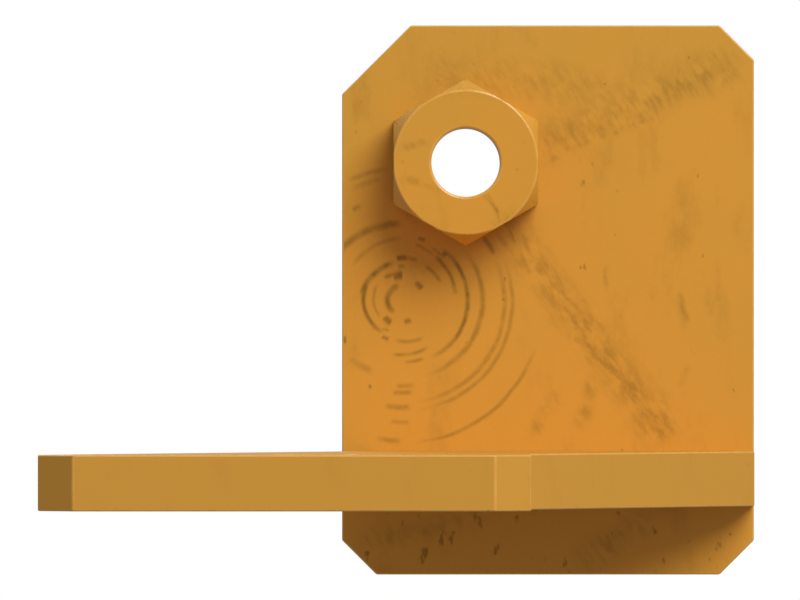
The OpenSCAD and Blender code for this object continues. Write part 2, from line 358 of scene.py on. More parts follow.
@dataclass(frozen=True)
class Spindle:
    """A point and a direction that round shapes and holes are made about."""

    base: Vector
    axis: Axis

    def point(self, along: float) -> Vector:
        """The point at a distance along the spindle."""
        return self.base + self.axis.ahead * along

    def prism(self, length: float, radii: tuple[float, float], sides: int, turn: float = 0.0) -> Piece:
        """Adds a prism or a cone frustum.

        Args:
            length: the length along the spindle.
            radii: the radius at its start and at its far end.
            sides: the number of sides.
            turn: an angle about its own axis, in radians.

        Returns:
            The new object.
        """
        Bench.clear()
        bpy.ops.mesh.primitive_cone_add(
            vertices=sides, radius1=radii[0], radius2=radii[1], depth=length,
            location=self.point(length / 2), rotation=self.axis.value,
        )
        if turn:
            bpy.context.object.rotation_euler.rotate_axis("Z", turn)
        return Bench.settle()

    def rod(self, length: float, radius: float) -> Piece:
        """Adds a cylinder."""
        return self.prism(length, (radius, radius), 96)

    def sectors(self, length: float, radius: float, angle: float, sideways: bool) -> Piece:
        """Makes two opposite sectors of a disc.

        Args:
            length: the disc's thickness.
            radius: the disc's radius.
            angle: the angle that each sector spans.
            sideways: whether they point along X, or along Y if not.

        Returns:
            The two sectors as one object.
        """
        disc = self.rod(length, radius)
        x, y, z = self.base
        reach = radius * 1.5
        half = reach * math.tan(math.pi / 2 - angle / 2 if sideways else angle / 2)
        wedges = Bench.loft(
            z - OVERCUT, z + length + OVERCUT,
            Station(y + reach, x - half, x + half),
            Station(y, x - WAIST, x + WAIST),
            Station(y - reach, x - half, x + half),
        )
        Bench.combine(disc, Merge.CUT if sideways else Merge.TRIM, wedges)
        return disc

    def turned(self, rings: Sequence[Ring], bored: bool = False, sides: int = 96) -> Piece:
        """Draws a round shape from ring to ring, as on a lathe.

        Args:
            rings: the outline, in order, measured from the spindle's point.
            bored: whether the last ring runs back to the first, round a bore; if not, both ends are capped.
            sides: the number of sides.

        Returns:
            The new closed object.
        """
        Bench.clear()
        bpy.ops.mesh.primitive_circle_add(
            vertices=sides, radius=rings[0].radius, fill_type="NOTHING",
            location=self.point(rings[0].along), rotation=self.axis.value,
        )
        piece = Bench.settle()
        Bench.edit(piece, "EDGE")
        path = [*rings, rings[0]] if bored else list(rings)
        for last, now in zip(path, path[1:]):
            shift = self.axis.ahead * (now.along - last.along)
            bpy.ops.mesh.extrude_region_move(TRANSFORM_OT_translate={"value": shift})
            ratio = now.radius / last.radius
            spread = Vector((ratio, ratio, ratio)) + self.axis.ahead * (1 - ratio)
            bpy.ops.transform.resize(value=spread, center_override=self.point(now.along))
        bpy.ops.mesh.select_all(action="SELECT")
        if bored:
            bpy.ops.mesh.remove_doubles(threshold=0.005 * MM)
        else:
            bpy.ops.mesh.fill_holes(sides=0)
        Bench.close_up()
        if any(ring.edge for ring in path):
            self.mark_runs(piece, path)
        return piece

    def mark_runs(self, piece: Piece, path: Sequence[Ring]) -> None:
        """Gives the edge finish to the runs of a turned shape that ask for it.

        Args:
            piece: the turned shape.
            path: the rings in order, one run between each two.
        """
        Bench.make_slots(piece)
        for face in piece.data.polygons:
            along = (face.center - self.base).dot(self.axis.ahead)
            out = (face.center - self.point(along)).length

            def miss(run: tuple[Ring, Ring]) -> float:
                """How far a run's middle is from the face's."""
                middle = (run[0].along + run[1].along) / 2, (run[0].radius + run[1].radius) / 2
                return math.hypot(middle[0] - along, middle[1] - out)

            if out > OVERCUT:
                face.material_index = int(min(zip(path, path[1:]), key=miss)[1].edge)

    def drill(self, piece: Piece, length: float, radius: float, break_edge: float = 0.0) -> None:
        """Cuts a round hole, with its mouths broken where asked.

        Args:
            piece: the object to drill.
            length: the hole's length.
            radius: the hole's radius.
            break_edge: chamfer on both mouths, or 0 for none.
        """
        # A 45 degree chamfer and a flatter one in front of it make a rounded mouth
        lip = break_edge * 0.4
        wide = radius + break_edge - lip
        flare = wide + (lip + OVERCUT) / math.tan(MOUTH_ANGLE)
        rings = [Ring(-OVERCUT, radius), Ring(length + OVERCUT, radius)]
        if break_edge:
            rings = [
                Ring(-OVERCUT, flare),
                Ring(lip, wide, edge=True),
                Ring(break_edge, radius, edge=True),
                Ring(length - break_edge, radius),
                Ring(length - lip, wide, edge=True),
                Ring(length + OVERCUT, flare, edge=True),
            ]
        Bench.combine(piece, Merge.CUT, self.turned(rings))

    def sink(self, piece: Piece, depth: float, radius: float, lip: float) -> None:
        """Cuts a round recess that opens at the spindle's point, with a chamfered mouth.

        Args:
            piece: the object to cut.
            depth: the recess's depth.
            radius: the recess's radius.
            lip: the chamfer on its mouth.
        """
        rings = [Ring(-depth, radius), Ring(-lip, radius), Ring(OVERCUT, radius + lip + OVERCUT, edge=True)]
        Bench.combine(piece, Merge.CUT, self.turned(rings))


# ---------------------------------------------------------------------------------------------------------
# Shader maths
# ---------------------------------------------------------------------------------------------------------


class Value:
    """A shader socket that carries a number, with the usual arithmetic."""

    def __init__(self, graph: "Graph", socket: bpy.types.NodeSocket) -> None:
        """Wraps a socket of a graph."""
        self.graph = graph
        self.socket = socket

    def __add__(self, other: Union["Value", Number]) -> "Value":
        """Adds."""
        return self.graph.math("ADD", self, other)

    __radd__ = __add__

    def __sub__(self, other: Union["Value", Number]) -> "Value":
        """Subtracts."""
        return self.graph.math("SUBTRACT", self, other)

    def __rsub__(self, other: Union["Value", Number]) -> "Value":
        """Subtracts this from a number."""
        return self.graph.math("SUBTRACT", other, self)

    def __mul__(self, other: Union["Value", Number]) -> "Value":
        """Multiplies."""
        return self.graph.math("MULTIPLY", self, other)

    __rmul__ = __mul__

    def __truediv__(self, other: Union["Value", Number]) -> "Value":
        """Divides."""
        return self.graph.math("DIVIDE", self, other)

    def __abs__(self) -> "Value":
        """Drops the sign."""
        return self.graph.math("ABSOLUTE", self)

    def __pow__(self, other: Number) -> "Value":
        """Raises to a power."""
        return self.graph.math("POWER", self, other)

    def larger(self, other: Union["Value", Number]) -> "Value":
        """The larger of two values."""
        return self.graph.math("MAXIMUM", self, other)

    def ramp(self, start: Number, end: Number, low: Number = 0.0, high: Number = 1.0) -> "Value":
        """Goes smoothly from low to high as this value goes from start to end.

        Args:
            start: the value where the change begins.
            end: the value where it ends.
            low: the result at the start.
            high: the result at the end.

        Returns:
            The remapped value, held at low and high outside the range.
        """
        node = self.graph.node(
            "ShaderNodeMapRange",
            {"interpolation_type": "SMOOTHSTEP"},
            {"Value": self, "From Min": start, "From Max": end, "To Min": low, "To Max": high},
        )
        return Value(self.graph, node.outputs["Result"])


class Graph:
    """A material's node tree, with short ways to add to it."""

    def __init__(self, name: str) -> None:
        """Makes a material with an empty surface shader.

        Args:
            name: the material's name.
        """
        self.material = bpy.data.materials.new(name)
        self.material.use_nodes = True
        self.tree = self.material.node_tree
        self.shader = self.tree.nodes["Principled BSDF"]
        place = self.node("ShaderNodeTexCoord", {}, {}).outputs["Object"]
        scaled = self.node("ShaderNodeVectorMath", {"operation": "SCALE"}, {0: place, "Scale": 1 / MM})
        # Object coordinates in millimetres
        self.place = scaled.outputs["Vector"]
        split = self.node("ShaderNodeSeparateXYZ", {}, {"Vector": self.place})
        self.x, self.y, self.z = (Value(self, split.outputs[axis]) for axis in "XYZ")

    def node(self, kind: str, settings: dict, sockets: dict) -> bpy.types.Node:
        """Adds a node.

        Args:
            kind: the node's type.
            settings: properties, set first.
            sockets: a number, colour, Value or socket for each input, by name or index.

        Returns:
            The new node.
        """
        made = self.tree.nodes.new(kind)
        for key, setting in settings.items():
            setattr(made, key, setting)
        for key, value in sockets.items():
            self.feed(made.inputs[key], value)
        return made

    def feed(self, target: bpy.types.NodeSocket, value: object) -> None:
        """Links a Value or socket to an input, or sets the input's own number or colour.

        Args:
            target: the input.
            value: what it gets.
        """
        if isinstance(value, Value):
            value = value.socket
        if isinstance(value, bpy.types.NodeSocket):
            self.tree.links.new(value, target)
        else:
            target.default_value = value

    def surface(self, sockets: dict[str, object]) -> bpy.types.Material:
        """Feeds the surface shader.

        Args:
            sockets: what each of its inputs gets, by name.

        Returns:
            The material.
        """
        for name, value in sockets.items():
            self.feed(self.shader.inputs[name], value)
        return self.material

    def math(self, operation: str, *values: Union[Value, Number]) -> Value:
        """Adds a Math node."""
        node = self.node("ShaderNodeMath", {"operation": operation}, dict(enumerate(values)))
        return Value(self, node.outputs[0])

    def noise(
        self, scale: float, detail: float, seed: float, rough: float = 0.55,
        stretch: tuple[float, float, float] = (1.0, 1.0, 1.0), turn: float = 0.0,
    ) -> Value:
        """A noise of the object's place.

        Args:
            scale: blobs per millimetre.
            detail: how many finer layers it has.
            seed: shifts it, so that two noises differ.
            rough: how strong the finer layers are.
            stretch: a scale for each axis, for streaks.
            turn: angle of the streaks about the Y axis, in radians.

        Returns:
            The noise, about 0.5 in the middle.
        """
        mapped = self.node(
            "ShaderNodeMapping", {"vector_type": "TEXTURE"},
            {
                "Vector": self.place,
                "Location": (-seed, -seed * 1.7, -seed * 0.6),
                "Rotation": (0.0, turn, 0.0),
                "Scale": tuple(1 / size for size in stretch),
            },
        )
        node = self.node(
            "ShaderNodeTexNoise", {},
            {"Vector": mapped.outputs["Vector"], "Scale": scale, "Detail": detail, "Roughness": rough},
        )
        return Value(self, node.outputs[0])

    def mix(self, factor: Union[Value, Number], first: object, second: object) -> bpy.types.NodeSocket:
        """Mixes two colours.

        Args:
            factor: 0 for the first, 1 for the second.
            first: a colour or a socket.
            second: a colour or a socket.

        Returns:
            The mixed colour's socket.
        """
        settings = {"data_type": "RGBA", "blend_type": "MIX"}
        return self.node("ShaderNodeMix", settings, {0: factor, 6: first, 7: second}).outputs[2]

    def bump(self, height: Value, strength: float, distance: float) -> bpy.types.NodeSocket:
        """Turns a height into a normal.

        Args:
            height: the height, 0 to 1.
            strength: how much of it shows.
            distance: the height's full depth in metres.

        Returns:
            The normal's socket.
        """
        node = self.node("ShaderNodeBump", {}, {"Strength": strength, "Distance": distance, "Height": height})
        return node.outputs["Normal"]


def rgb(red: float, green: float, blue: float) -> Colour:
    """A linear colour with full alpha."""
    return (red, green, blue, 1.0)


# ---------------------------------------------------------------------------------------------------------
# Wear marks on the plate
# ---------------------------------------------------------------------------------------------------------


@dataclass(frozen=True)
class Arc:
    """A rubbed arc about the wear centre, in millimetres and degrees anticlockwise from +X."""

    start: float
    end: float
    start_radius: float
    end_radius: float
    half_width: float
    strength: float


@dataclass(frozen=True)
class Scuff:
    """A straight scuffed band on the plate, in millimetres, from one point to another."""

    start: tuple[float, float]
    end: tuple[float, float]
    half_width: float
    strength: float


@dataclass(frozen=True)
class WearPattern:
    """All the marks that the plate and nut share, because they were rubbed together."""

    centre: tuple[float, float] = (-18.2, -41.0)
    wobble: float = 0.7
    hatch_angle: float = math.radians(-32)
    end_fade: float = 0.22
    longest_fade: float = 8.0
    arcs: tuple[Arc, ...] = (
        # Inner rings, mostly on the left
        Arc(97, 178, 5.3, 4.8, 0.65, 1.0),
        Arc(140, 232, 5.2, 3.6, 0.6, 1.0),
        Arc(213, 241, 6.7, 6.6, 0.75, 0.9),
        Arc(89, 113, 8.3, 8.2, 1.0, 1.0),
        Arc(106, 128, 9.0, 9.3, 0.5, 0.8),
        Arc(138, 216, 9.6, 7.6, 0.35, 0.45),
        Arc(229, 243, 9.5, 8.8, 0.4, 0.55),
        Arc(86, 99, 10.8, 10.8, 0.5, 0.8),
        Arc(98, 176, 12.1, 12.3, 0.6, 1.0),
        Arc(132, 241, 12.5, 10.2, 0.5, 1.0),
        Arc(236, 249, 11.4, 11.2, 0.5, 0.8),
        Arc(83, 100, 13.2, 13.2, 0.6, 1.0),
        Arc(71, 86, 13.1, 13.3, 0.45, 0.6),
        Arc(35, 63, 6.7, 7.2, 0.7, 0.9),
        Arc(27, 62, 12.5, 12.8, 0.45, 0.6),
        Arc(-89, -62, 5.2, 5.3, 0.6, 0.75),
        Arc(-105, -57, 10.8, 11.7, 0.45, 0.5),
        Arc(-105, -58, 15.2, 14.6, 0.4, 0.6),
        # Outer rings, on the right
        Arc(-90, -68, 17.1, 17.2, 0.4, 0.65),
        Arc(9, 21, 15.7, 15.5, 0.5, 0.5),
        Arc(12, 60, 15.5, 16.7, 0.45, 0.8),
        Arc(56, 80, 16.5, 17.6, 0.4, 0.5),
        Arc(-68, 60, 17.7, 19.7, 0.5, 1.0),
        Arc(47, 53, 18.9, 18.5, 0.8, 0.9),
        Arc(51, 63, 17.8, 18.1, 0.4, 0.6),
        Arc(70, 78, 19.5, 19.5, 0.45, 0.7),
        Arc(-78, 49, 21.9, 23.9, 0.6, 0.65),
        Arc(-86, 32, 28.8, 29.9, 0.55, 0.5),
        Arc(-86, 30, 31.1, 32.1, 0.5, 0.5),
        Arc(27, 41, 30.2, 30.4, 0.6, 0.8),
        Arc(-88, -16, 40.6, 40.6, 0.45, 0.55),
        # Faint rings at the left edge, and short dashes below the centre
        Arc(86, 146, 23.2, 24.0, 0.8, 0.75),
        Arc(86, 146, 19.0, 18.5, 0.5, 0.4),
        Arc(95, 115, 39.4, 39.2, 0.6, 0.45),
        Arc(99, 115, 36.8, 36.6, 0.6, 0.4),
        Arc(113, 119, 31.0, 31.0, 0.6, 0.5),
        Arc(224, 247, 22.0, 21.8, 0.8, 0.4),
        Arc(-98, -83, 26.0, 26.0, 0.5, 0.5),
        Arc(-96, -81, 24.1, 24.1, 0.5, 0.45),
        Arc(-101, -85, 30.3, 30.3, 0.6, 0.65),
        Arc(-97, -86, 34.6, 34.6, 0.5, 0.35),
        Arc(-102, -90, 40.0, 40.0, 0.6, 0.5),
    )
    scuffs: tuple[Scuff, ...] = (
        Scuff((19.0, 4.0), (82.0, 31.0), 8.0, 0.42),
        Scuff((19.0, -1.0), (60.0, 16.0), 2.0, 0.4),
        Scuff((8.0, -14.0), (62.0, -84.0), 7.5, 0.5),
        Scuff((-14.0, 27.0), (52.0, 20.0), 8.0, 0.25),
        Scuff((41.5, -29.0), (41.5, -38.0), 1.3, 0.4),
        Scuff((62.5, -36.0), (63.5, -51.0), 1.5, 0.45),
        Scuff((66.0, -58.0), (61.0, -66.0), 1.5, 0.25),
        Scuff((38.0, -58.0), (33.0, -80.0), 3.0, 0.4),
        Scuff((28.0, -64.0), (18.0, -82.0), 3.0, 0.35),
        Scuff((8.0, -102.0), (-34.0, -112.0), 5.0, 0.35),
        Scuff((58.0, -101.0), (30.0, -119.0), 6.0, 0.35),
        # Faint streaks across the nut's face
        Scuff((3.5, -7.5), (11.5, -20.5), 1.1, 0.6),
        Scuff((-21.0, 5.0), (-9.0, 4.0), 1.6, 0.3),
        Scuff((-21.0, -4.0), (-6.0, -9.5), 1.6, 0.3),
    )

    def draw(self, graph: Graph) -> Value:
        """Draws the marks.

        Args:
            graph: the material to draw in.

        Returns:
            How strongly each point is marked, 0 to 1.
        """
        across = graph.x - self.centre[0]
        up = graph.z - self.centre[1]
        radius = (across * across + up * up) ** 0.5
        wavy = radius + (graph.noise(0.16, 3.0, 3.1) - 0.5) * self.wobble
        half_turn = graph.math("ARCTAN2", up, across) * math.degrees(1)
        full_turn = half_turn + graph.math("LESS_THAN", half_turn, 0.0) * 360.0
        total: Union[Value, float] = 0.0
        for arc in self.arcs:
            angle = full_turn if arc.end > 180 else half_turn
            share = (angle - arc.start) / (arc.end - arc.start)
            middle = share * (arc.end_radius - arc.start_radius) + arc.start_radius
            band = abs(wavy - middle).ramp(
                arc.half_width * 0.1, arc.half_width * 2.3, arc.strength * 0.9, 0.0
            )
            gate = abs(share - 0.5).ramp(0.5 - self.end_fade, 0.5, 1.0, 0.0)
            total = (band * gate).larger(total)
        patchy = graph.noise(0.3, 3.0, 9.0).ramp(0.3, 0.6, 0.6, 1.0)
        return (total * patchy).larger(self.draw_scuffs(graph))

    def draw_scuffs(self, graph: Graph) -> Value:
        """Draws the straight bands.

        Args:
            graph: the material to draw in.

        Returns:
            How strongly each point is scuffed, 0 to 1.
        """
        blotches = graph.noise(0.16, 4.0, 21.0, rough=0.6).ramp(0.36, 0.62)
        hatch = graph.noise(0.55, 2.0, 5.0, stretch=(1.0, 1.0, 0.3), turn=self.hatch_angle).ramp(0.42, 0.62)
        sway = (graph.noise(0.07, 2.0, 33.0) - 0.5) * 6.0
        total: Union[Value, float] = 0.0
        for scuff in self.scuffs:
            run = Vector(scuff.end) - Vector(scuff.start)
            ahead = run.normalized()
            along = (graph.x - scuff.start[0]) * ahead.x + (graph.z - scuff.start[1]) * ahead.y
            aside = (graph.x - scuff.start[0]) * -ahead.y + (graph.z - scuff.start[1]) * ahead.x
            band = abs(aside + sway).ramp(0.0, scuff.half_width * 1.2, scuff.strength, 0.0)
            fade = min(self.longest_fade, run.length / 3)
            gate = along.ramp(0.0, fade) * along.ramp(run.length - fade, run.length, 1.0, 0.0)
            total = (band * gate).larger(total)
        return total * (blotches * 0.5 + hatch * 0.6)


# ---------------------------------------------------------------------------------------------------------
# Finishes
# ---------------------------------------------------------------------------------------------------------


class Finish:
    """A surface that becomes a material."""

    def sockets(self, graph: Graph) -> dict[str, object]:
        """What the surface shader's inputs get; each finish gives its own."""
        raise NotImplementedError

    def material(self, name: str) -> bpy.types.Material:
        """Makes the finish's material."""
        graph = Graph(name)
        return graph.surface(self.sockets(graph))


@dataclass(frozen=True)
class OrangePaint(Finish):
    """Satin orange enamel on steel, rubbed and scuffed in use."""

    warm: Colour = rgb(0.690, 0.308, 0.038)
    yellow: Colour = rgb(0.615, 0.308, 0.041)
    grime: Colour = rgb(0.170, 0.086, 0.006)
    shine: float = 0.2
    roughness: float = 0.2
    peel: float = 0.18
    smears: float = 0.3
    specks: float = 0.6
    marks: Optional[WearPattern] = None
    marked_until: float = 0.0

    def sockets(self, graph: Graph) -> dict[str, object]:
        """Clouded enamel, warmer lower down as a painted glow of bounce light from the blade, with smears,
        specks and, on the plate's front, the wear marks.

        Args:
            graph: the material to draw in.

        Returns:
            What each of the shader's inputs gets.
        """
        clouds = graph.noise(0.02, 3.0, 1.0)
        # Warmer and redder towards the bottom: a painted glow of the blade's bounce light. The clouds are the
        # enamel's own uneven tone.
        height = graph.z * -0.0045 + 0.28
        colour = graph.mix((clouds + height - 0.4).ramp(0.1, 0.75), self.yellow, self.warm)
        smear = graph.noise(0.09, 5.0, 31.0, rough=0.65, stretch=(1.0, 1.0, 0.45))
        dirt = smear.ramp(0.5, 0.85, 0.0, self.smears)
        spatter = graph.noise(0.28, 2.0, 55.0, stretch=(1.0, 1.0, 0.6))
        low_down = graph.z.ramp(-104.0, -96.0, 0.07, 0.0)
        dirt = dirt.larger((spatter + low_down).ramp(0.70, 0.80, 0.0, self.specks))
        if self.marks:
            front = graph.y.ramp(self.marked_until - 0.3, self.marked_until, 1.0, 0.0)
            dirt = dirt.larger(self.marks.draw(graph) * front * 0.85)
        relief = graph.noise(1.1, 2.0, 4.0) * 0.4 - smear * 0.4
        return {
            "Specular IOR Level": self.shine,
            "Base Color": graph.mix(dirt, colour, self.grime),
            "Roughness": graph.noise(0.2, 4.0, 8.0) * 0.12 + self.roughness + dirt * 0.25,
            "Normal": graph.bump(relief, self.peel, 0.05 * MM),
        }


@dataclass(frozen=True)
class WornAndHighlitEdge(Finish):
    """The same enamel on rounded edges, thinner, paler in patches as worn paint and as a painted edge
    highlight, with steel showing in places.
    """

    warm: Colour = OrangePaint.warm
    # The pale tone stands for thinned enamel and also paints the edges' highlight.
    pale: Colour = rgb(0.70, 0.36, 0.06)
    steel: Colour = rgb(0.20, 0.15, 0.09)

    def sockets(self, graph: Graph) -> dict[str, object]:
        """Thin enamel, its pale patches partly a painted edge highlight, with bare chips.

        Args:
            graph: the material to draw in.

        Returns:
            What each of the shader's inputs gets.
        """
        # Pale patches: thinned enamel, and a painted highlight along the rounded edges.
        thin_and_highlit = graph.noise(0.25, 4.0, 2.0).ramp(0.3, 0.6)
        bare = graph.noise(0.35, 5.0, 41.0, rough=0.7).ramp(0.68, 0.74, 0.0, 0.7)
        peel = graph.noise(0.9, 3.0, 6.0)
        return {
            "Base Color": graph.mix(bare, graph.mix(thin_and_highlit, self.warm, self.pale), self.steel),
            "Roughness": 0.24 + bare * 0.06,
            "Metallic": bare * 0.7,
            "Normal": graph.bump(peel - bare * 0.4, 0.3, 0.05 * MM),
        }


@dataclass(frozen=True)
class Steel(Finish):
    """Bare or blackened steel with turning marks and a little rust."""

    tint: Colour
    rust: Colour = rgb(0.16, 0.06, 0.02)
    roughness: float = 0.32
    rust_from: float = 0.62

    def sockets(self, graph: Graph) -> dict[str, object]:
        """Uneven steel with rust blooms and fine turning marks.

        Args:
            graph: the material to draw in.

        Returns:
            What each of the shader's inputs gets.
        """
        rust = graph.noise(0.25, 6.0, 12.0, rough=0.7).ramp(self.rust_from, self.rust_from + 0.12)
        tone = graph.noise(0.5, 4.0, 19.0)
        shade = rgb(*(channel * 0.6 for channel in self.tint[:3]))
        turning = graph.noise(0.2, 3.0, 7.0, stretch=(1.0, 22.0, 1.0))
        return {
            "Base Color": graph.mix(rust * 0.8, graph.mix(tone, shade, self.tint), self.rust),
            "Metallic": 1.0 - rust * 0.7,
            "Roughness": self.roughness + rust * 0.35 + tone * 0.12,
            "Normal": graph.bump(turning + rust * 0.4, 0.3, 0.04 * MM),
        }


@dataclass(frozen=True)
class Rubber(Finish):
    """Matt black nitrile rubber, dusty in places."""

    black: Colour = rgb(0.018, 0.018, 0.019)
    dust: Colour = rgb(0.16, 0.13, 0.10)

    def sockets(self, graph: Graph) -> dict[str, object]:
        """Grained rubber with patches of dust.

        Args:
            graph: the material to draw in.

        Returns:
            What each of the shader's inputs gets.
        """
        dust = graph.noise(0.5, 5.0, 3.0, rough=0.7).ramp(0.5, 0.8, 0.0, 0.5)
        return {
            "Base Color": graph.mix(dust, self.black, self.dust),
            "Roughness": 0.6 + dust * 0.3,
            "Normal": graph.bump(graph.noise(2.2, 3.0, 5.0), 0.3, 0.05 * MM),
        }


class Slot(Enum):
    """The record's material slots."""

    PAINT = "orange_paint"
    STEEL = "bare_steel"
    DARK = "dark_steel"
    RUBBER = "black_rubber"


class Coat(Enum):
    """The finishes, by the names of their materials."""

    PLATE = "plate_paint"
    BLADE = "blade_paint"
    EDGE = "edge_paint"
    STEEL = "machined_steel"
    DARK = "black_oxide"
    RUBBER = "nitrile_rubber"


@dataclass
class Finishes:
    """Every material, made once."""

    plate_front: float
    made: dict[Coat, bpy.types.Material] = field(default_factory=dict)

    def build(self) -> None:
        """Makes the materials."""
        marked_until = self.plate_front / MM + 0.6
        for coat, finish in {
            Coat.PLATE: OrangePaint(marks=WearPattern(), marked_until=marked_until),
            Coat.BLADE: OrangePaint(
                warm=rgb(0.605, 0.293, 0.038), yellow=rgb(0.590, 0.293, 0.039), smears=0.1, specks=0.2,
                roughness=0.45, peel=0.1,
            ),
            Coat.EDGE: WornAndHighlitEdge(),
            Coat.STEEL: Steel(tint=rgb(0.56, 0.54, 0.51)),
            Coat.DARK: Steel(tint=rgb(0.075, 0.075, 0.08), roughness=0.42, rust_from=0.66),
            Coat.RUBBER: Rubber(),
        }.items():
            self.made[coat] = finish.material(coat.value)

    def dress(self, piece: Piece, *coats: Coat) -> None:
        """Gives a piece its materials, and its main one to any slot left over.

        Args:
            piece: the object.
            coats: its finishes, the main one first.
        """
        slots = piece.data.materials
        while len(slots) < len(coats):
            slots.append(None)
        for index in range(len(slots)):
            slots[index] = self.made[coats[index] if index < len(coats) else coats[0]]


# ---------------------------------------------------------------------------------------------------------
# Sub-assemblies
# ---------------------------------------------------------------------------------------------------------


@dataclass(frozen=True)
class RootJoint:
    """How the blade's root is held in the plate: two tabs in two slots, and two screws."""

    root_inset: float = 9 * MM
    tab_width: float = 26 * MM
    tab_inset: float = 10 * MM
    tab_shoulder: float = 1.5 * MM
    counterbore_radius: float = 7.5 * MM

    def tabs(self, front: float, back: float, gap: float = 0.0) -> list[Piece]:
        """The tabs' shapes, or with a gap the slots that they pass through.

        Args:
            front: where they start along Y.
            back: where they end.
            gap: clearance all round.

        Returns:
            The two blocks.
        """
        plate, shank = Span.of_node("mounting_plate"), Span.of_node("tooth_shank")
        low = shank.low.z + self.tab_shoulder - gap
        high = shank.high.z - self.tab_shoulder + gap
        lefts = (
            plate.low.x + self.root_inset + self.tab_inset, plate.high.x - self.tab_inset - self.tab_width
        )
        return [
            Bench.block(
                Vector((left - gap, front, low)), Vector((left + self.tab_width + gap, back, high))
            )
            for left in lefts
        ]

    def screw_places(self) -> tuple[float, float]:
        """Sideways places of the two screws' axes."""
        plugs = Span.of_node("screw_hole_plugs")
        return plugs.low.x + self.counterbore_radius, plugs.high.x - self.counterbore_radius


@dataclass
class SubAssembly:
    """Something that builds pieces, each of which stands for a frame node."""

    finishes: Finishes
    body: str = "tooth"
    root: RootJoint = RootJoint()

    def hand_over(self, piece: Piece, node: str, slot: Slot, *coats: Coat) -> None:
        """Finishes a piece and puts it in its node's place.

        Args:
            piece: the finished mesh.
            node: the frame node that it stands for.
            slot: the record's slot; not used.
            coats: its finishes, the main one first.
        """
        piece.name = piece.data.name = f"{node}_skin"
        Bench.finish_surface(piece)
        self.finishes.dress(piece, *coats)
        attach(piece, self.body)
        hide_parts(node)
        LOG.info("%s: %d faces, stands for %s", piece.name, len(piece.data.polygons), node)


